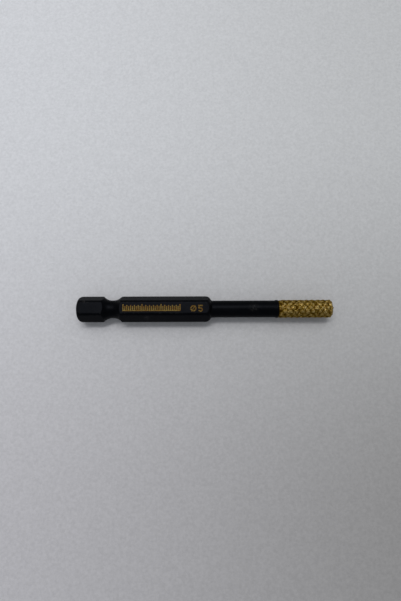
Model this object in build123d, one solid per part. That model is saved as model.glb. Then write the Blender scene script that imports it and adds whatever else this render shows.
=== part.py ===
from build123d import *
import math
import os
import random

# A 5 mm diamond drill bit for tiles, lying on one flat of its hexagonal shank.
# The drive end, ring groove, shoulder, stem and collar are turned from one hexagonal steel bar. Its tip is
# bored out and carries the crown: diamond grains seated in a sleeve of braze, on its side and its rim.
# The origin is the middle of the drive end, +X runs along the bit to the rim, and +Z is up.
# Every size is in millimetres.

# Hexagonal shank, a quarter of an inch across its flats
across_flats = 6.35
corner_break = 0.17
drive_end_round = 1.25
hex_length = 34.4

# Ring groove that a ball-lock chuck holds
groove_centre = 9.3
groove_depth = 1.08
groove_floor = 0.4
groove_arc = 3.0
groove_wall_angle = 45.0

# Shoulder, the round stem that follows the crown into the hole, and the collar that the crown ends at
shoulder_round = 1.5
shoulder_angle = 60.0
stem_fillet = 0.5
stem_relief = 0.21
stem_length = 17.75
collar_length = 1.0
collar_height = 0.14
collar_crest = 0.3
collar_front = 0.2

# Crown, whose braze is made of flats narrower than a grain
crown_diameter = 5.0
crown_length = 14.55
rim_round = 0.75
rim_steps = 3
flats_per_row = 2
mouth_chamfer = 0.25

# Diamond grit, in staggered rows along the crown
grit_size = 0.82
grit_size_spread = 0.06
grit_tilt = 28.0
grit_stand_out = 0.2
grit_cover = 0.04
row_pitch = 1.12
grain_pitch = 1.55
end_margin = 0.7
place_spread = 0.09
grit_seed = 5

# Bore that takes the cut core
tip_wall = 0.5
bore_depth = 26.0
bore_point_angle = 118.0

# Gold print on the upper flat: a plain graduated scale, and a diameter sign with the number 5
print_thickness = 0.02
scale_margin = 0.99
tick_pitch = 0.5
tick_width = 0.26
tick_heights = {10: 1.85, 2: 1.6, 1: 1.35}
base_line_width = 0.24
mark_gap = 2.3
mark_height = 1.86
mark_drop = 0.23
mark_stroke = 0.34
sign_diameter = 1.64
sign_slash = 0.25
sign_slant = 60.0
digit_width = 1.2
digit_gap = 0.46
bowl_join = 0.25
bowl_opening = 0.38
mark_end_margin = 1.69

# Sizes that follow from these
flat_height = across_flats / 2
corner_radius = across_flats / math.sqrt(3) - corner_break
groove_root_radius = corner_radius - groove_depth
crown_radius = crown_diameter / 2
stem_radius = crown_radius - stem_relief
grit_depth = grit_size * (1 + grit_size_spread) + grit_cover
braze_radius = crown_radius - grit_stand_out
tip_radius = crown_radius - grit_depth
bore_radius = tip_radius - tip_wall

# The walls of the groove are chamfers that leave its rounded floor, and the arc is limited by its depth.
wall = math.radians(groove_wall_angle)
floor_round = min(groove_arc, 0.9 * groove_depth / (1 - math.cos(wall)))
floor_rise = floor_round * (1 - math.cos(wall))

# The shoulder is a rounding, a steep cone and a fillet, and its height limits both radii.
steep = math.radians(shoulder_angle)
arc_share = 1 - math.cos(steep)
shoulder_height = corner_radius - stem_radius
convex = min(shoulder_round, 0.7 * shoulder_height / arc_share)
concave = min(stem_fillet, 0.25 * shoulder_height / arc_share)
cone_height = shoulder_height - (convex + concave) * arc_share
shoulder_length = (convex + concave) * math.sin(steep) + cone_height / math.tan(steep)
flat_end = hex_length + math.sqrt(convex**2 - (convex - (corner_radius - flat_height)) ** 2)

stem_start = hex_length + shoulder_length
crown_start = stem_start + stem_length
rim = crown_start + crown_length
braze_end = rim - grit_stand_out
tip_end = rim - grit_depth
grit_rows = 2 * round(math.pi * crown_diameter / (2 * row_pitch))


def groove_reach(radius):
    """How far the groove's wall lies from its centre where it has this radius."""
    floor_end = groove_floor / 2 + floor_round * math.sin(wall)
    return floor_end + (radius - groove_root_radius - floor_rise) / math.tan(wall)


def turned(edges):
    """The solid that a closed outline of distance along the axis and radius sweeps about the axis."""
    return revolve(make_face(edges), Axis.X)


def drive_end_outline():
    """From the middle of the end face to the start of the groove."""
    face_radius = corner_radius - drive_end_round
    groove_start = groove_centre - groove_reach(corner_radius)
    return [
        Line((0, 0), (0, face_radius)),
        CenterArc((drive_end_round, face_radius), drive_end_round, 180, -90),
        Line((drive_end_round, corner_radius), (groove_start, corner_radius)),
    ]


def groove_outline():
    """A wall, an arc, the floor, an arc and a wall."""
    floor_start, floor_end = groove_centre - groove_floor / 2, groove_centre + groove_floor / 2
    arc_height = groove_root_radius + floor_round
    arc_run = floor_round * math.sin(wall)
    wall_foot = groove_root_radius + floor_rise
    reach = groove_reach(corner_radius)
    return [
        Line((groove_centre - reach, corner_radius), (floor_start - arc_run, wall_foot)),
        CenterArc((floor_start, arc_height), floor_round, 270 - groove_wall_angle, groove_wall_angle),
        Line((floor_start, groove_root_radius), (floor_end, groove_root_radius)),
        CenterArc((floor_end, arc_height), floor_round, 270, groove_wall_angle),
        Line((floor_end + arc_run, wall_foot), (groove_centre + reach, corner_radius)),
    ]


def shoulder_outline():
    """From the end of the groove along the hexagon, down to the stem and along it to the collar."""
    convex_end = (hex_length + convex * math.sin(steep), corner_radius - convex * arc_share)
    concave_start = (stem_start - concave * math.sin(steep), stem_radius + concave * arc_share)
    return [
        Line((groove_centre + groove_reach(corner_radius), corner_radius), (hex_length, corner_radius)),
        CenterArc((hex_length, corner_radius - convex), convex, 90, -shoulder_angle),
        Line(convex_end, concave_start),
        CenterArc((stem_start, stem_radius + concave), concave, 270 - shoulder_angle, shoulder_angle),
        Line((stem_start, stem_radius), (crown_start - collar_length, stem_radius)),
    ]


def tip_outline():
    """The collar, a cone up to its crest and one down, then the step to the tip, and the tip."""
    crest_end = crown_start - collar_front
    return [
        Polyline(
            (crown_start - collar_length, stem_radius),
            (crest_end - collar_crest, stem_radius + collar_height),
            (crest_end, stem_radius + collar_height),
            (crown_start, stem_radius),
            (crown_start, tip_radius),
            (tip_end, tip_radius),
            (tip_end, 0),
            (0, 0),
        ),
    ]


def bore():
    """The space of the bore, with a drill point at its bottom."""
    bottom = rim - bore_depth
    point = bore_radius / math.tan(math.radians(bore_point_angle / 2))
    outline = Polyline(
        (bottom - point, 0), (bottom, bore_radius), (rim, bore_radius), (rim, 0), (bottom - point, 0)
    )
    return turned([outline])


def shank():
    """The steel body: turned outside all along, and left hexagonal wherever it is thick enough."""
    outline = drive_end_outline() + groove_outline() + shoulder_outline() + tip_outline()
    hexagon = Plane.YZ * RegularPolygon(flat_height, 6, major_radius=False)
    return (turned(outline) & extrude(hexagon, rim)) - bore()


def crystal():
    """A cube of diamond with each corner cut to the middle of its edges, one unit from tip to tip."""
    half = math.sqrt(0.5) / 2
    ends = [-half, half]
    squares = [
        Face(Wire.make_polygon([Vector(*corner) for corner in corners], close=True))
        for side in ends
        for corners in (
            [(side, 0, half), (side, half, 0), (side, 0, -half), (side, -half, 0)],
            [(0, side, half), (half, side, 0), (0, side, -half), (-half, side, 0)],
            [(0, half, side), (half, 0, side), (0, -half, side), (-half, 0, side)],
        )
    ]
    triangles = [
        Face(Wire.make_polygon([Vector(x, y, 0), Vector(0, y, z), Vector(x, 0, z)], close=True))
        for x in ends
        for y in ends
        for z in ends
    ]
    return Solid(Shell(squares + triangles))


def envelope(run):
    """Distance along the axis, radius and tilt in degrees, at this run along the crown's side and rim."""
    past = run - (crown_length - rim_round)
    if past <= 0:
        return crown_start + run, crown_radius, 0.0
    turn = min(past / rim_round, math.pi / 2)
    on_face = max(0.0, past - rim_round * math.pi / 2)
    along = rim - rim_round + rim_round * math.sin(turn)
    radius = crown_radius - rim_round + rim_round * math.cos(turn) - on_face
    return along, radius, math.degrees(turn)


def grain_sites():
    """The run along the crown's side and rim, and the angle about the axis, of each grain."""
    rim_corner = crown_length - rim_round + rim_round * math.pi / 2
    longest = rim_corner + (crown_radius - rim_round) - bore_radius - grit_size
    sites = []
    for row in range(grit_rows):
        start = end_margin + 0.5 * (row % 2) * grain_pitch
        for n in range(int((longest - start) / grain_pitch) + 1):
            sites.append((start + n * grain_pitch, 360 * row / grit_rows))
    return sites


def diamond_grit():
    """The grains, each turned its own way with a square roughly outwards, up to the crown's envelope."""
    draw = random.Random(grit_seed)
    rough = crystal()
    grains = []
    for run, angle in grain_sites():
        size = grit_size * (1 + draw.uniform(-grit_size_spread, grit_size_spread))
        spin, lean, turn = draw.uniform(0, 90), draw.uniform(0, grit_tilt), draw.uniform(0, 360)
        tumble = Rotation(0, 0, turn) * Rotation(lean, 0, 0) * Rotation(0, 0, spin)
        along, radius, tilt = envelope(run + draw.uniform(-place_spread, place_spread))
        swing = math.degrees(draw.uniform(-place_spread, place_spread) / crown_radius)
        grain = tumble * scale(rough, size)
        seat = Rotation(0, tilt, 0) * Pos(0, 0, -grain.bounding_box().max.Z)
        grains.append(Rotation(-angle - swing, 0, 0) * Pos(along, 0, radius) * seat * grain)
    return grains


def faceted(rings, sides):
    """The solid inside these rings of distance along the axis and radius, with flats between them."""
    turns = [2 * math.pi * (side + 0.5) / sides for side in range(sides)]
    hoops = [
        [Vector(along, radius * math.sin(turn), radius * math.cos(turn)) for turn in turns]
        for along, radius in rings
    ]
    faces = [Face(Wire.make_polygon(hoop, close=True)) for hoop in (hoops[0], hoops[-1])]
    for near, far in zip(hoops, hoops[1:]):
        for side in range(sides):
            corners = [near[side - 1], near[side], far[side], far[side - 1]]
            faces.append(Face(Wire.make_polygon(corners, close=True)))
    return Solid(Shell(faces))


def braze_matrix(grains):
    """The braze round the steel tip and over its rim, with a seat for each grain."""
    rings = [(crown_start, braze_radius)]
    for step in range(rim_steps + 1):
        turn = math.pi / 2 * step / rim_steps
        drop, run = rim_round * (1 - math.cos(turn)), rim_round * math.sin(turn)
        rings.append((braze_end - rim_round + run, braze_radius - drop))
    hollow = turned(
        [
            Polyline(
                (crown_start, 0),
                (crown_start, tip_radius),
                (tip_end, tip_radius),
                (tip_end, bore_radius),
                (braze_end - mouth_chamfer, bore_radius),
                (braze_end, bore_radius + mouth_chamfer),
                (braze_end, 0),
                (crown_start, 0),
            )
        ]
    )
    return faceted(rings, flats_per_row * grit_rows) - hollow - grains


def slab(outline):
    """Print of this outline, on the upper flat."""
    return extrude(Pos(0, 0, flat_height) * outline, print_thickness)


def bar_between(low, high):
    """A rectangle with these two corners."""
    middle = Pos((low[0] + high[0]) / 2, (low[1] + high[1]) / 2)
    return middle * Rectangle(high[0] - low[0], high[1] - low[1])


def diameter_sign(centre):
    """A ring crossed by a slanting stroke, a little below the middle of the flat."""
    radius = sign_diameter / 2
    ring = Circle(radius) - Circle(radius - mark_stroke)
    stroke = Rotation(0, 0, sign_slant) * Rectangle(mark_height, sign_slash)
    return Pos(centre, -mark_drop) * (ring + stroke)


def figure_five(left):
    """The number 5: a bar along its top, a short upright, and a bowl left open at its lower left."""
    bowl_radius = digit_width / 2
    low, top = -mark_height / 2 - mark_drop, mark_height / 2 - mark_drop
    bowl_centre = (left + digit_width - bowl_radius, low + bowl_radius)
    bowl_foot = bowl_centre[1] + bowl_join
    gap_end = (bowl_centre[0] - bowl_join, bowl_foot)
    ring = Pos(*bowl_centre) * (Circle(bowl_radius) - Circle(bowl_radius - mark_stroke))
    gap = bar_between((left - mark_stroke, bowl_foot - bowl_opening), gap_end)
    upright = bar_between((left, bowl_foot), (left + mark_stroke, top))
    cap = bar_between((left, top - mark_stroke), (left + digit_width, top))
    return (ring - gap) + upright + cap


def graduation(start, room):
    """A base line with ticks in this room, long ones at the tens, and even ones above odd ones."""
    count = int((room - tick_width) / tick_pitch) + 1
    low = -max(tick_heights.values()) / 2
    line_end = start + (count - 1) * tick_pitch + tick_width
    drawing = bar_between((start, low), (line_end, low + base_line_width))
    for n in range(count):
        height = next(tick_heights[step] for step in tick_heights if n % step == 0)
        left = start + n * tick_pitch
        drawing += bar_between((left, low), (left + tick_width, low + height))
    return drawing


def printed_marks():
    """The scale, the diameter sign and the number, which stand before the shoulder."""
    digit_left = flat_end - mark_end_margin - digit_width
    sign_centre = digit_left - digit_gap - sign_diameter / 2
    scale_start = groove_centre + groove_reach(flat_height) + scale_margin
    scale_room = sign_centre - sign_diameter / 2 - mark_gap - scale_start
    outlines = [graduation(scale_start, scale_room), diameter_sign(sign_centre), figure_five(digit_left)]
    return [slab(outline) for outline in outlines]


def write(name, shape):
    """Writes one named piece, or a group of separate ones, to its own file."""
    if isinstance(shape, list):
        shape = Compound(children=shape)
    export_step(shape, f"parts/{name}.step")


os.makedirs("parts", exist_ok=True)
grit = diamond_grit()
write("shank", shank())
write("braze_matrix", braze_matrix(grit))
write("diamond_grit", grit)
write("printed_marks", printed_marks())
print("length", round(rim, 2), "grains", len(grit), "bore radius", round(bore_radius, 3))
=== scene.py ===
import itertools
import math

import bmesh
import bpy
import numpy as np
from mathutils import Matrix, Vector
from mathutils.kdtree import KDTree


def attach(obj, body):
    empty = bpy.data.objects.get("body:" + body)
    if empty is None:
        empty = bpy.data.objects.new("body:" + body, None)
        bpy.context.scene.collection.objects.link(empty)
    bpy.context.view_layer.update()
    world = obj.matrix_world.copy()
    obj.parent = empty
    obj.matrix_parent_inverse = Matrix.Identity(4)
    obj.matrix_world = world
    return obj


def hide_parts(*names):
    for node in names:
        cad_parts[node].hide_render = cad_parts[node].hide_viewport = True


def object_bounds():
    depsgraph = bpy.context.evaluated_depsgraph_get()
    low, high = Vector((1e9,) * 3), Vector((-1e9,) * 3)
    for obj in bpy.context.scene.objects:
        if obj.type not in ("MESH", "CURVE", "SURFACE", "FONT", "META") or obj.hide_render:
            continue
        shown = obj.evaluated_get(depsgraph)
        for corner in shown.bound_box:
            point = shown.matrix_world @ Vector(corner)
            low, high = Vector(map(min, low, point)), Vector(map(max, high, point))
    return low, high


# A 5 mm diamond drill bit for tiles, lying on a pale surface and seen from almost straight above.
# Every length is in metres. The bit's axis is the X axis, and angles about it are 0 at the top and grow
# towards the back, +Y. Colours are linear.

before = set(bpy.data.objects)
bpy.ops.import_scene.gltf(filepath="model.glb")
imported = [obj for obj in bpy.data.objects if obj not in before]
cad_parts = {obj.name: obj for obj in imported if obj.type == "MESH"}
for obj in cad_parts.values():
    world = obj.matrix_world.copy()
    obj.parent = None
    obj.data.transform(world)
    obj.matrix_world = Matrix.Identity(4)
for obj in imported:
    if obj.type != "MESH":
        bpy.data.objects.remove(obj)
cad_low, cad_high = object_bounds()
MM = 0.001

# Camera: close above the bit, a little in front of it, with a wide lens. The sensor's length spans the
# photograph's height, and the axis at AIM_X falls in its middle column, on AIM_ROW.
PHOTO_HEIGHT = 601
LENS_MM, SENSOR_MM = 22.0, 36.0
CLIP_START, CLIP_END = 0.005, 10
AIM_X = 33.03 * MM
AIM_ROW = 309.1
DISTANCE = 99.8 * MM
LEAN_DEG = 8.0
ROLL_DEG = 0.18

# Light: a long soft box almost overhead, leaning to the back, a wider and weaker one lower at the back, and
# an even surrounding. Each lamp has its elevation in degrees, its length and width, and its watts.
LAMP_DISTANCE = 0.45
LAMP_X = AIM_X - 35 * MM
LAMPS = {
    "key_lamp": (72.0, (0.34, 0.06), 0.93),
    "low_lamp": (55.0, (0.40, 0.16), 0.38),
}
LAMP_COLOUR = (1.0, 0.985, 0.97)
WORLD_COLOUR = (0.95, 0.97, 1.0, 1)
WORLD_LEVEL = 0.46

# The surface: how far it reaches to each side, and how its tone changes between these places, a painted light
# falloff that is lighter at the left and back, with painted shade to the right and front. Each pair of
# colours is the one at the left and the one at the right.
FLOOR_REACH = 1.0
FLOOR_LEFT, FLOOR_RIGHT = -50 * MM, 110 * MM
FLOOR_BACK, FLOOR_FRONT = 60 * MM, -60 * MM
FLOOR_BACK_FALLOFF_COLOURS = (0.624, 0.640, 0.674, 1), (0.502, 0.514, 0.526, 1)
FLOOR_FRONT_FALLOFF_COLOURS = (0.528, 0.526, 0.557, 1), (0.292, 0.290, 0.290, 1)

# Hexagonal shank and its ring groove
ACROSS_FLATS = 6.35 * MM
CORNER_BREAK = 0.17 * MM
DRIVE_END_ROUND = 1.25 * MM
HEX_LENGTH = 34.4 * MM
GROOVE_CENTRE = 9.3 * MM
GROOVE_DEPTH = 1.08 * MM
GROOVE_FLOOR = 0.4 * MM
GROOVE_ARC = 3.0 * MM
GROOVE_WALL = math.radians(45)

# Shoulder, stem and collar
SHOULDER_ROUND = 1.5 * MM
SHOULDER_ANGLE = math.radians(60)
STEM_FILLET = 0.5 * MM
STEM_RADIUS = 2.29 * MM
STEM_LENGTH = 17.75 * MM
COLLAR_LENGTH = 1.0 * MM
COLLAR_HEIGHT = 0.14 * MM
COLLAR_CREST = 0.3 * MM
COLLAR_FRONT = 0.2 * MM

# Crown
CROWN_RADIUS = 2.5 * MM
CROWN_LENGTH = 14.55 * MM
RIM_ROUND = 0.75 * MM
MOUTH_CHAMFER = 0.25 * MM
GRIT_STAND_OUT = 0.2 * MM
TIP_RADIUS = 1.5908 * MM
TIP_WALL = 0.5 * MM
BORE_DEPTH = 26.0 * MM
BORE_POINT = math.radians(118)

# Sizes that follow from these
FLAT_HEIGHT = ACROSS_FLATS / 2
CORNER_RADIUS = ACROSS_FLATS / math.sqrt(3) - CORNER_BREAK
SHOULDER_DROP = CORNER_RADIUS - STEM_RADIUS
SHOULDER_CONE = SHOULDER_DROP - (SHOULDER_ROUND + STEM_FILLET) * (1 - math.cos(SHOULDER_ANGLE))
SHOULDER_ARCS = (SHOULDER_ROUND + STEM_FILLET) * math.sin(SHOULDER_ANGLE)
STEM_START = HEX_LENGTH + SHOULDER_ARCS + SHOULDER_CONE / math.tan(SHOULDER_ANGLE)
CROWN_START = STEM_START + STEM_LENGTH
RIM = CROWN_START + CROWN_LENGTH
BRAZE_RADIUS = CROWN_RADIUS - GRIT_STAND_OUT
BRAZE_END = RIM - GRIT_STAND_OUT
TIP_END = RIM - (CROWN_RADIUS - TIP_RADIUS)
BORE_RADIUS = TIP_RADIUS - TIP_WALL

# The steel's edges: their rounding, how far wear shows beside them, and the small bevel of the inner ones.
# The drill point's cone has narrowed by BORE_NARROWING where it leaves the bore's bevel.
EDGE_WIDTH = 0.06 * MM
WORN_WIDTH = 0.05 * MM
INNER_EDGE = 0.02 * MM
BORE_NARROWING = 0.03 * MM

# Wear that the photograph shows. A dent or a scuff has its distance along the axis, its angle about it in
# degrees, its half length and its half turn in degrees, and a dent its depth too.
DENTS = [
    (2.2 * MM, 29.0, 0.22 * MM, 5.0, 0.05 * MM),
    (35.5 * MM, 38.0, 0.35 * MM, 9.0, 0.03 * MM),
]
SCUFFS = [
    (47.1 * MM, 6.0, 1.1 * MM, 26.0),
    (18.8 * MM, -55.0, 0.7 * MM, 14.0),
    (35.4 * MM, 40.0, 0.6 * MM, 14.0),
    (2.2 * MM, 29.0, 0.5 * MM, 8.0),
]

# How the steel's mesh is divided. Round the axis there are steps across each flat and each corner, which
# stop EDGE_MARGIN short of the edge between them, and EDGE_LINES of points beside that edge, in degrees.
# The groove's rings of points reach GROOVE_HALF to each side of its middle. The rings on the drive end's
# face and the last one in the drill point are shares of the radius there. Rings that are the same to
# STATION_DECIMALS, where two stretches meet, are one.
FLAT_STEPS = 24
CORNER_STEPS = 8
EDGE_MARGIN = 1.2
EDGE_LINES = np.array([-0.8, -0.4, 0.0, 0.4, 0.8])
GROOVE_HALF = 2.75 * MM
ROUNDING_RINGS = 34
STATION_DECIMALS = 8
END_FACE_RINGS = np.linspace(0.04, 0.96, 9)
BORE_POINT_RING = 0.04

# The lattice under the mesh noise: its values to each side, and a shift that keeps every place above 0
LATTICE = 64
LATTICE_SHIFT = 1000

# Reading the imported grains: how near two points of one corner are, and the decimals to which two normals of
# one plane agree and by which grains are put in order
WELD_DISTANCE = 1e-7
NORMAL_DECIMALS = 3
CENTRE_DECIMALS = 5

# Grains: their mesh, how sharp their edges are, chips that cut them off between these shares of their
# reach, and pits in their faces, on average as deep as this share of it. Each grain takes its pits from a
# place in the noise PIT_SHIFT beyond the last one's. Grains at the rim are worn back by RIM_WEAR.
GRAIN_DIVISIONS = 4
GRAIN_SHARPNESS = 16
GRAIN_SEED = 11
CHIPS = 3
CHIP_REACH = (0.74, 0.86)
PIT_SIZE = 0.13 * MM
PIT_DEPTH = 0.035
PIT_SHIFT = 3.1 * MM
PIT_SEED = 3
RIM_WEAR = 0.1 * MM

# The braze's mesh, and the lumps round its grains. Their widths and heights vary by these shares, and their
# outline wanders by LUMP_WARP over WARP_SIZE.
BRAZE_SIDES = 330
BRAZE_RINGS = 262
BRAZE_SEED = 23
LUMP_HEIGHT = 0.11 * MM
LUMP_RADIUS = 0.62 * MM
LUMP_WIDTH_SHARES = (0.85, 1.15)
LUMP_HEIGHT_SHARES = (0.7, 1.15)
LUMP_WARP = 0.2 * MM
WARP_SIZE = 0.45 * MM
WARP_SEEDS = (31, 32, 33)

# Fine lumps between them, and an uneven surface of a coarse noise and a fine one of half its height
FINES = 420
FINE_HEIGHT = 0.055 * MM
FINE_SIZES_MM = (0.07, 0.15)
FINE_HEIGHT_SHARES = (0.4, 1.0)
ROUGH_HEIGHT = 0.018 * MM
COARSE_SIZE, COARSE_SEED = 0.32 * MM, 5
SMALL_SIZE, SMALL_SEED = 0.13 * MM, 6
SMALL_SHARE = 0.5

# Facets in the braze. Their spots lie at shares of its radius: numbers between FACET_SHARES raised to
# FACET_POWER, so most are near the outside.
FACETS = 3000
FACET_TILT = 0.26
FACET_LIMIT = 0.045 * MM
FACET_SHARES = (0.75, 1.0)
FACET_POWER = 0.25
FACET_SEED = 41

# The braze is sunk a little between its lumps, and BRAZE_RELIEF is the range of heights that its colours
# span, from painted shade in the hollows to a painted highlight on the lumps. A bead runs round just behind
# its rim.
# Over START_LENGTH from the collar its relief grows from START_SHARE to the whole.
BRAZE_SINK = 0.03 * MM
BRAZE_RELIEF = 0.15 * MM
BEAD_HEIGHT = 0.05 * MM
BEAD_BACK = 0.3 * MM
BEAD_WIDTH = 0.4 * MM
START_LENGTH = 0.25 * MM
START_SHARE = 0.35

# The print: the gap after the scale, before the sign and the figure, and the edges of the scale's base line
SCALE_END, GAP_MIDDLE, SIGN_START = 28 * MM, 29 * MM, 30 * MM
BASE_LINE_FRONT, BASE_LINE_BACK = -0.95 * MM, -0.7 * MM


def make_camera():
    """Looks down at the bit from the photograph's place."""
    data = bpy.data.cameras.new("photo_camera")
    data.lens = LENS_MM
    data.sensor_width = SENSOR_MM
    data.clip_start = CLIP_START
    data.clip_end = CLIP_END
    camera = bpy.data.objects.new("photo_camera", data)
    bpy.context.scene.collection.objects.link(camera)
    focal_pixels = LENS_MM / SENSOR_MM * PHOTO_HEIGHT
    drop = math.atan((AIM_ROW - PHOTO_HEIGHT / 2) / focal_pixels)
    lean = math.radians(LEAN_DEG)
    roll = math.radians(-ROLL_DEG)
    place = Vector((AIM_X, -DISTANCE * math.sin(lean), DISTANCE * math.cos(lean)))
    turn = Matrix.Rotation(lean + drop, 4, "X") @ Matrix.Rotation(roll, 4, "Z")
    camera.matrix_world = Matrix.Translation(place) @ turn
    bpy.context.scene.camera = camera


def soft_box(name, place, aim, size, watts):
    """A rectangular lamp at one place, pointing at another."""
    data = bpy.data.lights.new(name, "AREA")
    data.shape = "RECTANGLE"
    data.size, data.size_y = size
    data.energy = watts
    data.color = LAMP_COLOUR
    lamp = bpy.data.objects.new(name, data)
    bpy.context.scene.collection.objects.link(lamp)
    lamp.location = place
    lamp.rotation_mode = "QUATERNION"
    lamp.rotation_quaternion = (Vector(aim) - Vector(place)).to_track_quat("-Z", "Y")


def make_light():
    """The soft boxes and the surrounding."""
    for name, (elevation, size, watts) in LAMPS.items():
        rise = math.radians(elevation)
        place = (LAMP_X, LAMP_DISTANCE * math.cos(rise), LAMP_DISTANCE * math.sin(rise))
        soft_box(name, place, (AIM_X, 0, 0), size, watts)
    world = bpy.data.worlds.new("surrounding")
    bpy.context.scene.world = world
    world.use_nodes = True
    background = world.node_tree.nodes["Background"]
    background.inputs["Color"].default_value = WORLD_COLOUR
    background.inputs["Strength"].default_value = WORLD_LEVEL


def new_material(name):
    """An empty material, its node tree and its shader."""
    material = bpy.data.materials.new(name)
    material.use_nodes = True
    tree = material.node_tree
    return material, tree, tree.nodes["Principled BSDF"]


def fill(tree, made, inputs):
    """Sets each input of a node to a value, or links it to a socket."""
    for name, value in inputs.items():
        if isinstance(value, bpy.types.NodeSocket):
            tree.links.new(value, made.inputs[name])
        else:
            made.inputs[name].default_value = value


def node(tree, kind, inputs, **settings):
    """A new node. Its inputs go by their names, or by their numbers where several have one name."""
    made = tree.nodes.new(kind)
    for name, value in settings.items():
        setattr(made, name, value)
    fill(tree, made, inputs)
    return made


def object_place(tree):
    """Where a point of the surface lies, in metres."""
    return node(tree, "ShaderNodeTexCoord", {}).outputs["Object"]


def noise(tree, scale, detail=2.0, roughness=0.5, place=None):
    """Values of a noise with this many features in a metre, around one half."""
    place = place or object_place(tree)
    inputs = {"Vector": place, "Scale": scale, "Detail": detail, "Roughness": roughness}
    return node(tree, "ShaderNodeTexNoise", inputs).outputs["Fac"]


def calculate(tree, operation, first, second, clamp=False):
    """The result of one operation on two values."""
    inputs = {0: first, 1: second}
    return node(tree, "ShaderNodeMath", inputs, operation=operation, use_clamp=clamp).outputs[0]


def stretch(tree, value, low, high, to_low=0.0, to_high=1.0, curve="LINEAR"):
    """A value's range from low to high, brought to another range and held there."""
    inputs = {"Value": value, "From Min": low, "From Max": high, "To Min": to_low, "To Max": to_high}
    made = node(tree, "ShaderNodeMapRange", inputs, clamp=True, interpolation_type=curve)
    return made.outputs["Result"]


def blend_colours(tree, share, first, second, blend="MIX"):
    """A colour between two, or another blend of them. The Mix node's colours are its inputs 6 and 7."""
    inputs = {0: share, 6: first, 7: second}
    return node(tree, "ShaderNodeMix", inputs, data_type="RGBA", blend_type=blend).outputs[2]


def ramp(tree, value, stops):
    """A colour that follows a value through these stops of position and colour."""
    made = node(tree, "ShaderNodeValToRGB", {"Fac": value})
    points = made.color_ramp.elements
    while len(points) < len(stops):
        points.new(1.0)
    for point, (position, colour) in zip(points, stops):
        point.position = position
        point.color = (*colour, 1)
    return made.outputs["Color"]


def bump(tree, height, distance):
    """A surface from which a height in the range 0 to 1 stands out by this distance."""
    made = node(tree, "ShaderNodeBump", {"Height": height, "Distance": distance, "Strength": 1.0})
    return made.outputs["Normal"]


def attribute(tree, name):
    """The value that the mesh holds under this name."""
    return node(tree, "ShaderNodeAttribute", {}, attribute_name=name).outputs["Fac"]


def assign(piece, material):
    """Gives a piece one material."""
    piece.data.materials.clear()
    piece.data.materials.append(material)


def floor_material():
    """A pale, faintly blue, matt surface, made a little darker to the right and to the front by painted
    shade.
    """
    material, tree, shader = new_material("pale_surface")
    parts = node(tree, "ShaderNodeSeparateXYZ", {"Vector": object_place(tree)})
    # Painted light falloff: the colour darkens to the right and to the front in place of the fall of the
    # light.
    to_right = stretch(tree, parts.outputs["X"], FLOOR_LEFT, FLOOR_RIGHT, curve="SMOOTHSTEP")
    to_front = stretch(tree, parts.outputs["Y"], FLOOR_FRONT, FLOOR_BACK, 1.0, 0.0, curve="SMOOTHSTEP")
    back = blend_colours(tree, to_right, *FLOOR_BACK_FALLOFF_COLOURS)
    front = blend_colours(tree, to_right, *FLOOR_FRONT_FALLOFF_COLOURS)
    plain = blend_colours(tree, to_front, back, front)
    cloud = noise(tree, scale=1400.0, detail=3.0, roughness=0.7)
    mottle = stretch(tree, cloud, 0.32, 0.68, to_low=1.0, to_high=0.86)
    colour = blend_colours(tree, 1.0, plain, mottle, blend="MULTIPLY")
    fill(tree, shader, {"Base Color": colour, "Roughness": 0.85, "Specular IOR Level": 0.15})
    return material


def make_floor():
    """The surface that the bit lies on."""
    level = cad_low.z
    corners = [(-1, -1), (1, -1), (1, 1), (-1, 1)]
    points = [(x * FLOOR_REACH, y * FLOOR_REACH, level) for x, y in corners]
    mesh = bpy.data.meshes.new("floor")
    mesh.from_pydata(points, [], [(0, 1, 2, 3)])
    floor = bpy.data.objects.new("floor", mesh)
    bpy.context.scene.collection.objects.link(floor)
    assign(floor, floor_material())


def piece_from(name, points, faces, values, replaced, material):
    """A smooth mesh piece with named values on its points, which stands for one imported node."""
    mesh = bpy.data.meshes.new(name)
    mesh.from_pydata(points.tolist(), [], faces)
    mesh.polygons.foreach_set("use_smooth", [True] * len(faces))
    for label, numbers in values.items():
        held = mesh.attributes.new(label, "FLOAT", "POINT").data
        held.foreach_set("value", numbers.astype(np.float32))
    piece = bpy.data.objects.new(name, mesh)
    bpy.context.scene.collection.objects.link(piece)
    assign(piece, material)
    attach(piece, "root")
    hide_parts(replaced)


def smooth_steps(value):
    """0 below 0 and 1 above 1, with a smooth rise between."""
    held = np.clip(value, 0, 1)
    return held * held * (3 - 2 * held)


def lattice_noise(points, size, seed):
    """Smooth noise from -1 to 1 with features of this size, from random values on a lattice."""
    values = np.random.default_rng(seed).uniform(-1, 1, (LATTICE, LATTICE, LATTICE))
    place = points / size + LATTICE_SHIFT
    corner = np.floor(place).astype(int)
    share = smooth_steps(place - corner)
    total = np.zeros(len(points))
    for step in itertools.product((0, 1), repeat=3):
        weight = np.abs(1 - np.array(step) - share).prod(axis=1)
        cell = (corner + step) % LATTICE
        total += weight * values[cell[:, 0], cell[:, 1], cell[:, 2]]
    return total


def softer_least(first, second, width):
    """The lesser of two, rounded where they differ by less than this width. Either may be one number."""
    share = np.clip(0.5 + 0.5 * (second - first) / width, 0, 1)
    return second * (1 - share) + first * share - width * share * (1 - share)


def groove_radius(along):
    """Radius of the ring groove: its floor, its arcs and its straight walls."""
    past = np.clip(np.abs(along - GROOVE_CENTRE) - GROOVE_FLOOR / 2, 0, None)
    arc_run = GROOVE_ARC * math.sin(GROOVE_WALL)
    arc_rise = GROOVE_ARC * (1 - math.cos(GROOVE_WALL))
    on_arc = GROOVE_ARC - np.sqrt(GROOVE_ARC**2 - np.clip(past, 0, arc_run) ** 2)
    on_wall = arc_rise + (past - arc_run) / math.tan(GROOVE_WALL)
    return CORNER_RADIUS - GROOVE_DEPTH + np.where(past < arc_run, on_arc, on_wall)


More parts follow.
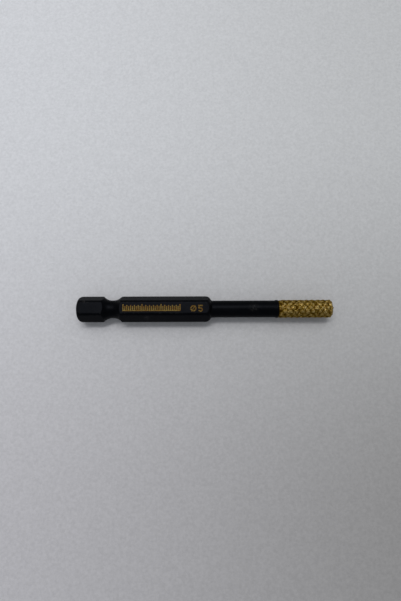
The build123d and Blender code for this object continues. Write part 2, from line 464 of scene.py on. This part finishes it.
def shoulder_radius(along):
    """Radius of the shoulder: a rounding, a steep cone and a fillet, down to the stem."""
    past = np.clip(along - HEX_LENGTH, 0, None)
    left = np.clip(STEM_START - along, 0, None)
    rounding = SHOULDER_ROUND * math.sin(SHOULDER_ANGLE)
    fillet = STEM_FILLET * math.sin(SHOULDER_ANGLE)
    on_round = CORNER_RADIUS - SHOULDER_ROUND + np.sqrt(SHOULDER_ROUND**2 - np.clip(past, 0, rounding) ** 2)
    on_fillet = STEM_RADIUS + STEM_FILLET - np.sqrt(STEM_FILLET**2 - np.clip(left, 0, fillet) ** 2)
    cone_top = CORNER_RADIUS - SHOULDER_ROUND * (1 - math.cos(SHOULDER_ANGLE))
    on_cone = cone_top - (past - rounding) * math.tan(SHOULDER_ANGLE)
    return np.where(past < rounding, on_round, np.where(left > fillet, on_cone, on_fillet))


def collar_rise(along):
    """How far the low collar before the crown stands out of the stem."""
    crest_end = CROWN_START - COLLAR_FRONT
    crest_start = crest_end - COLLAR_CREST
    past = along - CROWN_START + COLLAR_LENGTH
    climb = smooth_steps(past / (crest_start - CROWN_START + COLLAR_LENGTH))
    return COLLAR_HEIGHT * climb * (1 - smooth_steps((along - crest_end) / COLLAR_FRONT))


def turned_radius(along):
    """Radius of the whole turned outline at these distances from the drive end."""
    left = np.clip(DRIVE_END_ROUND - along, 0, DRIVE_END_ROUND)
    drive_end = CORNER_RADIUS - DRIVE_END_ROUND + np.sqrt(DRIVE_END_ROUND**2 - left**2)
    body = softer_least(drive_end, groove_radius(along), EDGE_WIDTH)
    return np.minimum(body, shoulder_radius(along)) + collar_rise(along)


def shank_angles():
    """Angles about the axis, closer together at the edges of each flat."""
    edge = math.degrees(math.acos(FLAT_HEIGHT / CORNER_RADIUS))
    flat = np.linspace(-edge + EDGE_MARGIN, edge - EDGE_MARGIN, FLAT_STEPS + 1)
    corner = np.linspace(edge + EDGE_MARGIN, 60 - edge - EDGE_MARGIN, CORNER_STEPS + 1)
    sector = np.concatenate([flat, edge + EDGE_LINES, corner, 60 - edge + EDGE_LINES])
    return np.radians(np.concatenate([sector + 60 * side for side in range(6)]))


def shank_stations():
    """Distances along the axis of the rings of points, closer together where the outline bends."""
    groove_start, groove_end = GROOVE_CENTRE - GROOVE_HALF, GROOVE_CENTRE + GROOVE_HALF
    collar_start = CROWN_START - COLLAR_LENGTH
    rounding = DRIVE_END_ROUND * (1 - np.cos(np.linspace(0, math.pi / 2, ROUNDING_RINGS)))
    # The start, the end and the number of rings of each further stretch
    stretches = [
        (DRIVE_END_ROUND, groove_start, 12),
        (groove_start, groove_end, 96),
        (groove_end, HEX_LENGTH, 50),
        (HEX_LENGTH, STEM_START, 44),
        (STEM_START, collar_start, 34),
        (collar_start, CROWN_START, 24),
    ]
    runs = [np.linspace(start, end, rings) for start, end, rings in stretches]
    return np.unique(np.round(np.concatenate([rounding] + runs), STATION_DECIMALS))


def rings_to_faces(rings, sides, closed=False):
    """Outward quads between rings of points. If closed, the last ring is joined to the first."""
    near = np.arange(rings if closed else rings - 1)[:, None] * sides
    far = (near + sides) % (rings * sides)
    here = np.arange(sides)[None, :]
    there = (here + 1) % sides
    quads = np.stack([near + here, far + here, far + there, near + there], axis=-1)
    return quads.reshape(-1, 4).tolist()


def on_axis(along, radius, angle):
    """Points at these distances along the axis, radii and angles about it."""
    along, radius, angle = np.broadcast_arrays(along, radius, angle)
    return np.stack([along, radius * np.sin(angle), radius * np.cos(angle)], axis=-1).reshape(-1, 3)


def from_spot(along, angles, x, degrees, half_length, half_turn):
    """How far the steel's points are from a spot, squared, where 1 is its half length or half turn."""
    swing = (np.degrees(angles)[None, :] - degrees + 180) % 360 - 180
    return ((along[:, None] - x) / half_length) ** 2 + (swing / half_turn) ** 2


def make_shank(material):
    """The steel body: the turned outline cut to a hexagon, closed by its end face, its tip and its bore."""
    angles = shank_angles()
    along = shank_stations()
    from_flat = (angles + math.pi / 6) % (math.pi / 3) - math.pi / 6
    hexagon = FLAT_HEIGHT / np.cos(from_flat)
    turned = turned_radius(along)[:, None]
    radius = softer_least(turned, hexagon, EDGE_WIDTH)
    edge = np.exp(-(((turned - hexagon) / WORN_WIDTH) ** 2))
    lathed = smooth_steps((hexagon - turned) / EDGE_WIDTH + 0.5)
    for *spot, depth in DENTS:
        radius = radius - depth * np.exp(-from_spot(along, angles, *spot))
    scuff = np.zeros_like(radius)
    for spot in SCUFFS:
        away = from_spot(along, angles, *spot)
        scuff = np.maximum(scuff, np.exp(-away * away))
    face = (CORNER_RADIUS - DRIVE_END_ROUND) * END_FACE_RINGS
    bottom = RIM - BORE_DEPTH
    point = BORE_RADIUS / math.tan(BORE_POINT / 2)
    inner = [
        (CROWN_START, TIP_RADIUS),
        (TIP_END - INNER_EDGE, TIP_RADIUS),
        (TIP_END, TIP_RADIUS - INNER_EDGE),
        (TIP_END, BORE_RADIUS + INNER_EDGE),
        (TIP_END - INNER_EDGE, BORE_RADIUS),
        (bottom + INNER_EDGE, BORE_RADIUS),
        (bottom - INNER_EDGE, BORE_RADIUS - BORE_NARROWING),
        (bottom - (1 - BORE_POINT_RING) * point, BORE_POINT_RING * BORE_RADIUS),
    ]
    rings = [on_axis(0.0, r, angles) for r in face]
    rings.append(on_axis(along[:, None], radius, angles[None, :]))
    rings += [on_axis(x, r, angles) for x, r in inner]
    ends = np.array([[0.0, 0.0, 0.0], [bottom - point, 0.0, 0.0]])
    points = np.concatenate(rings + [ends])
    sides, count = len(angles), len(points) - len(ends)
    last = count - sides
    faces = rings_to_faces(count // sides, sides)
    # One fan of triangles closes the drive end, and another the drill point
    faces += [(count, n, (n + 1) % sides) for n in range(sides)]
    faces += [(count + 1, last + (n + 1) % sides, last + n) for n in range(sides)]
    # The points before and after those of the turned outline show no wear, and count as lathed
    others = (len(face) * sides, len(inner) * sides + len(ends))
    values = {
        "edge": np.pad(edge.ravel(), others),
        "scuff": np.pad(scuff.ravel(), others),
        "lathed": np.pad(lathed.ravel(), others, constant_values=1),
    }
    piece_from("steel_body", points, faces, values, "shank", material)


def black_material():
    """The satin black coating of the steel, with fine unevenness and slight wear."""
    turned_colours = (0.0003, 0.0004, 0.0007, 1), (0.0009, 0.0011, 0.0016, 1)
    flat_colours = (0.0015, 0.0017, 0.0024, 1), (0.0024, 0.0027, 0.0036, 1)
    worn_colour = (0.035, 0.034, 0.032, 1)
    edge_wear = 0.35
    material, tree, shader = new_material("black_coating")
    cloud = stretch(tree, noise(tree, scale=700.0, detail=3.0), 0.35, 0.65)
    turned = blend_colours(tree, cloud, *turned_colours)
    flat = blend_colours(tree, cloud, *flat_colours)
    coating = blend_colours(tree, attribute(tree, "lathed"), flat, turned)
    streaks = node(tree, "ShaderNodeMapping", {"Vector": object_place(tree), "Scale": (1.0, 0.18, 0.18)})
    scratch = stretch(tree, noise(tree, scale=9000.0, place=streaks.outputs[0]), 0.52, 0.66)
    patch = stretch(tree, noise(tree, scale=1500.0), 0.55, 0.75)
    worn = calculate(tree, "MULTIPLY", attribute(tree, "scuff"), scratch)
    rubbed = calculate(tree, "MULTIPLY", attribute(tree, "edge"), patch)
    wear = calculate(tree, "ADD", worn, calculate(tree, "MULTIPLY", rubbed, edge_wear), clamp=True)
    patchy = noise(tree, scale=1800.0, detail=3.0)
    inputs = {
        "Base Color": blend_colours(tree, wear, coating, worn_colour),
        "Roughness": stretch(tree, patchy, 0.3, 0.7, to_low=0.35, to_high=0.44),
        "Specular IOR Level": 0.040,
        "Specular Tint": (0.78, 0.84, 1.0, 1),
        "Normal": bump(tree, noise(tree, scale=9000.0, detail=3.0), 0.006 * MM),
    }
    fill(tree, shader, inputs)
    return material


def connected_groups(vertices):
    """The vertices of each separate solid in a mesh."""
    seen, groups = set(), []
    for start in vertices:
        if start.index in seen:
            continue
        stack, members = [start], []
        seen.add(start.index)
        while stack:
            vertex = stack.pop()
            members.append(vertex)
            for edge in vertex.link_edges:
                other = edge.other_vert(vertex)
                if other.index not in seen:
                    seen.add(other.index)
                    stack.append(other)
        groups.append(members)
    return groups


def planes_of(members, centre):
    """The outward normal of each plane of a solid, and how far it is from the centre."""
    planes = {}
    for face in dict.fromkeys(face for vertex in members for face in vertex.link_faces):
        normal = np.array(face.normal)
        offset = float(normal @ (np.array(face.verts[0].co) - centre))
        planes[tuple(np.round(normal, NORMAL_DECIMALS))] = (normal, offset)
    return list(planes.values())


def grains_of(node_object):
    """The centre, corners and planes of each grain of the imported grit, in order along the axis."""
    grit = bmesh.new()
    grit.from_mesh(node_object.data)
    bmesh.ops.remove_doubles(grit, verts=grit.verts, dist=WELD_DISTANCE)
    grit.verts.index_update()
    grains = []
    for members in connected_groups(grit.verts):
        corners = np.array([vertex.co for vertex in members])
        centre = corners.mean(axis=0)
        grains.append((centre, corners, planes_of(members, centre)))
    grit.free()
    return sorted(grains, key=lambda grain: tuple(np.round(grain[0], CENTRE_DECIMALS)))


def sphere_directions(divisions):
    """Even directions and the triangles between them."""
    ball = bmesh.new()
    bmesh.ops.create_icosphere(ball, subdivisions=divisions, radius=1.0)
    directions = np.array([vertex.co for vertex in ball.verts])
    triangles = [[vertex.index for vertex in face.verts] for face in ball.faces]
    ball.free()
    return directions, triangles


def chipped_grain(number, grain, directions, draw):
    """The points of a crystal with softened, chipped edges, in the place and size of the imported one."""
    centre, corners, planes = grain
    reach = np.linalg.norm(corners - centre, axis=1).max()
    normals = [normal for normal, _ in planes]
    offsets = [offset for _, offset in planes]
    for _ in range(CHIPS):
        chip = draw.normal(size=3)
        normals.append(chip / np.linalg.norm(chip))
        offsets.append(reach * draw.uniform(*CHIP_REACH))
    ratio = np.clip(directions @ np.array(normals).T, 0, None) / np.array(offsets)
    radius = 1 / (ratio**GRAIN_SHARPNESS).sum(axis=1) ** (1 / GRAIN_SHARPNESS)
    shape = directions * radius[:, None]
    pits = lattice_noise(shape + number * PIT_SHIFT, PIT_SIZE, PIT_SEED)
    shape = centre + shape * (1 - PIT_DEPTH * (1 + pits))[:, None]
    shape[:, 0] = softer_least(shape[:, 0], RIM - RIM_WEAR, RIM_WEAR)
    return shape


def make_grit(grains, material):
    """All the grains as one piece. Each has a tone of its own."""
    directions, triangles = sphere_directions(GRAIN_DIVISIONS)
    draw = np.random.default_rng(GRAIN_SEED)
    points, faces, heights, tones = [], [], [], []
    for number, grain in enumerate(grains):
        shape = chipped_grain(number, grain, directions, draw)
        points.append(shape)
        faces += [[corner + number * len(directions) for corner in triangle] for triangle in triangles]
        outward = np.linalg.norm(shape[:, 1:], axis=1)
        # The height above the braze, which the grit's material turns into painted shade at the feet and a
        # painted highlight on the tops
        heights.append(np.maximum(outward - BRAZE_RADIUS, shape[:, 0] - BRAZE_END) / GRIT_STAND_OUT)
        tones.append(np.full(len(directions), draw.uniform(0, 1)))
    points = np.concatenate(points)
    values = {"height": np.concatenate(heights), "tone": np.concatenate(tones)}
    piece_from("coated_grit", points, faces, values, "diamond_grit", material)


def crown_outline(count):
    """The braze's outside, from the collar over the rim to the mouth: distances, radii and the way out."""
    side = BRAZE_END - RIM_ROUND - CROWN_START
    arc = RIM_ROUND * math.pi / 2
    face = BRAZE_RADIUS - RIM_ROUND - (BORE_RADIUS + MOUTH_CHAMFER)
    run = np.linspace(0, side + arc + face, count)
    turn = np.clip((run - side) / RIM_ROUND, 0, math.pi / 2)
    along = CROWN_START + np.minimum(run, side) + RIM_ROUND * np.sin(turn)
    radius = BRAZE_RADIUS - RIM_ROUND * (1 - np.cos(turn)) - np.clip(run - side - arc, 0, None)
    return along, radius, turn


def grain_lumps(base, grains, draw):
    """Heights of the lumps, which join in a web. Each has its middle at the foot of its grain."""
    warp = np.stack([lattice_noise(base, WARP_SIZE, seed) for seed in WARP_SEEDS], axis=-1)
    warped = base + LUMP_WARP * warp
    lumps = np.zeros(len(base))
    for centre, _, _ in grains:
        reach = LUMP_RADIUS * draw.uniform(*LUMP_WIDTH_SHARES)
        height = draw.uniform(*LUMP_HEIGHT_SHARES)
        outward = np.linalg.norm(centre[1:])
        foot = centre * (1, BRAZE_RADIUS / outward, BRAZE_RADIUS / outward)
        if centre[0] > BRAZE_END - RIM_ROUND:
            foot = centre
        away = np.sqrt(((warped - foot) ** 2).sum(axis=1)) / reach
        lumps = np.maximum(lumps, height * np.exp(-(away**4)))
    return LUMP_HEIGHT * lumps


def fine_lumps(base, draw):
    """Heights of the fine lumps."""
    fine = np.zeros(len(base))
    for _ in range(FINES):
        along = draw.uniform(CROWN_START, BRAZE_END)
        angle = draw.uniform(0, 2 * math.pi)
        size = draw.uniform(*FINE_SIZES_MM) * MM
        height = draw.uniform(*FINE_HEIGHT_SHARES)
        away = ((base - on_axis(along, BRAZE_RADIUS, angle)) ** 2).sum(axis=1)
        fine = np.maximum(fine, height * np.exp(-away / (2 * size**2)))
    return FINE_HEIGHT * fine


def facets(base):
    """Heights of small flat facets, each tilted its own way, as crushed grit leaves."""
    draw = np.random.default_rng(FACET_SEED)
    low, high = base.min(axis=0), base.max(axis=0)
    turn = draw.uniform(0, 2 * math.pi, FACETS)
    along = draw.uniform(low[0], high[0], FACETS)
    radius = draw.uniform(*FACET_SHARES, FACETS) ** FACET_POWER * high[2]
    spots = on_axis(along, radius, turn)
    tilts = draw.normal(0, FACET_TILT, (FACETS, 3))
    tree = KDTree(FACETS)
    for number, spot in enumerate(spots):
        tree.insert(spot, number)
    tree.balance()
    nearest = np.array([tree.find(point)[1] for point in base])
    heights = ((base - spots[nearest]) * tilts[nearest]).sum(axis=1)
    return np.clip(heights, -FACET_LIMIT, FACET_LIMIT)


def braze_lift(base, grains):
    """How far the braze's surface stands out of its plain outline at each point."""
    draw = np.random.default_rng(BRAZE_SEED)
    coarse = lattice_noise(base, COARSE_SIZE, COARSE_SEED)
    rough = coarse + SMALL_SHARE * lattice_noise(base, SMALL_SIZE, SMALL_SEED)
    lift = grain_lumps(base, grains, draw) + fine_lumps(base, draw) + ROUGH_HEIGHT * rough - BRAZE_SINK
    lift = lift + facets(base)
    from_bead = (base[:, 0] - BRAZE_END + BEAD_BACK) / BEAD_WIDTH
    lift = lift + BEAD_HEIGHT * np.exp(-(from_bead**2))
    past_start = smooth_steps((base[:, 0] - CROWN_START) / START_LENGTH)
    return lift * (START_SHARE + (1 - START_SHARE) * past_start)


def make_braze(grains, material):
    """The sleeve of braze: its lumpy outside over the rim, and its hollow."""
    angles = np.linspace(0, 2 * math.pi, BRAZE_SIDES, endpoint=False)
    along, radius, turn = crown_outline(BRAZE_RINGS)
    base = on_axis(along[:, None], radius[:, None], angles[None, :])
    out = on_axis(np.sin(turn)[:, None], np.cos(turn)[:, None], angles[None, :])
    lift = braze_lift(base, grains)
    inner = [
        (BRAZE_END - MOUTH_CHAMFER, BORE_RADIUS),
        (TIP_END + INNER_EDGE, BORE_RADIUS),
        (TIP_END, BORE_RADIUS + INNER_EDGE),
        (TIP_END, TIP_RADIUS),
        (CROWN_START, TIP_RADIUS),
    ]
    points = np.concatenate([base + out * lift[:, None]] + [on_axis(x, r, angles) for x, r in inner])
    faces = rings_to_faces(BRAZE_RINGS + len(inner), BRAZE_SIDES, closed=True)
    # The height, which the braze's material turns into painted shade in the hollows and a painted highlight
    # on the lumps
    values = {"height": np.pad((lift + BRAZE_SINK) / BRAZE_RELIEF, (0, len(inner) * BRAZE_SIDES))}
    piece_from("braze_sleeve", points, faces, values, "braze_matrix", material)


def relief_shading_colour(tree, stops, scale, detail, spread):
    """A colour that follows the mesh's height through these stops, made uneven by a noise: painted shade low
    down and a painted highlight high up.
    """
    cloud = noise(tree, scale, detail, roughness=0.7)
    uneven = stretch(tree, cloud, 0.3, 0.7, to_low=-spread, to_high=spread)
    return ramp(tree, calculate(tree, "ADD", attribute(tree, "height"), uneven), stops)


def fill_gold(tree, shader, colour, surface, smoothest, roughest):
    """What the shaders of the braze and the grit share: warm metal with patches of less gloss."""
    patchy = noise(tree, scale=3500.0, detail=3.0)
    inputs = {
        "Base Color": colour,
        "Roughness": stretch(tree, patchy, 0.35, 0.65, smoothest, roughest),
        "Metallic": 1.0,
        "Specular Tint": (0.95, 0.75, 0.35, 1),
        "Normal": surface,
    }
    fill(tree, shader, inputs)


def braze_material():
    """Gold braze with rusty patches, with painted shade in the hollows and a painted highlight on the lumps.
    """
    hollow, slope, top = (0.036, 0.017, 0.001), (0.142, 0.087, 0.009), (0.315, 0.235, 0.09)
    rust = (0.20, 0.10, 0.022, 1)
    material, tree, shader = new_material("gold_braze_lumps")
    # The stops run from painted shade in the hollows to a painted highlight on the lumps.
    stops = [(0.0, hollow), (0.4, slope), (0.95, top)]
    gold = relief_shading_colour(tree, stops, scale=3200.0, detail=4.0, spread=0.42)
    rusty = stretch(tree, noise(tree, scale=1300.0), 0.54, 0.68, to_high=0.45)
    colour = blend_colours(tree, rusty, gold, rust)
    surface = bump(tree, noise(tree, scale=16000.0, detail=3.0), 0.008 * MM)
    fill_gold(tree, shader, colour, surface, smoothest=0.34, roughest=0.66)
    return material


def grit_material():
    """Diamond grains under a thin gold film, each of a slightly different tone, with painted shade at their
    feet and a painted highlight on their tops.
    """
    foot, slope, top = (0.082, 0.050, 0.005), (0.24, 0.174, 0.048), (0.37, 0.295, 0.140)
    brown = (0.20, 0.11, 0.024, 1)
    brownest = 0.5
    material, tree, shader = new_material("gold_coated_grit")
    # The stops run from painted shade at each grain's foot to a painted highlight on its top.
    stops = [(0.0, foot), (0.6, slope), (1.0, top)]
    gold = relief_shading_colour(tree, stops, scale=5000.0, detail=3.0, spread=0.35)
    tone = calculate(tree, "MULTIPLY", attribute(tree, "tone"), brownest)
    colour = blend_colours(tree, tone, gold, brown)
    surface = bump(tree, noise(tree, scale=12000.0), 0.006 * MM)
    fill_gold(tree, shader, colour, surface, smoothest=0.31, roughest=0.6)
    return material


def ink_material():
    """Gold ink with uneven cover, thinner along the scale's base line and over the sign and the figure."""
    brown, yellow = (0.185, 0.092, 0.013, 1), (0.245, 0.178, 0.046, 1)
    uncovered = (0.05, 0.026, 0.004, 1)
    material, tree, shader = new_material("gold_ink")
    place = node(tree, "ShaderNodeSeparateXYZ", {"Vector": object_place(tree)}).outputs
    in_scale = stretch(tree, place["X"], SCALE_END, GAP_MIDDLE, to_low=1.0, to_high=0.0)
    near_base = stretch(tree, place["Y"], BASE_LINE_FRONT, BASE_LINE_BACK, to_low=0.5, to_high=0.0)
    in_signs = stretch(tree, place["X"], SCALE_END, SIGN_START, to_high=0.35)
    thin = calculate(tree, "ADD", in_signs, calculate(tree, "MULTIPLY", in_scale, near_base))
    cloud = stretch(tree, noise(tree, scale=6000.0, detail=3.0), 0.35, 0.6)
    cover = calculate(tree, "SUBTRACT", cloud, thin, clamp=True)
    hue = stretch(tree, noise(tree, scale=900.0, detail=3.0, roughness=0.65), 0.38, 0.62)
    gold = blend_colours(tree, hue, brown, yellow)
    inputs = {
        "Base Color": blend_colours(tree, cover, uncovered, gold),
        "Roughness": stretch(tree, noise(tree, scale=3000.0), 0.3, 0.7, to_low=0.5, to_high=0.7),
        "Specular IOR Level": 0.06,
        "Normal": bump(tree, noise(tree, scale=15000.0), 0.004 * MM),
    }
    fill(tree, shader, inputs)
    return material


bpy.context.scene.view_settings.view_transform = "Standard"
make_camera()
make_light()
make_floor()
grains = grains_of(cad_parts["diamond_grit"])
make_shank(black_material())
make_braze(grains, braze_material())
make_grit(grains, grit_material())
assign(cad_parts["printed_marks"], ink_material())
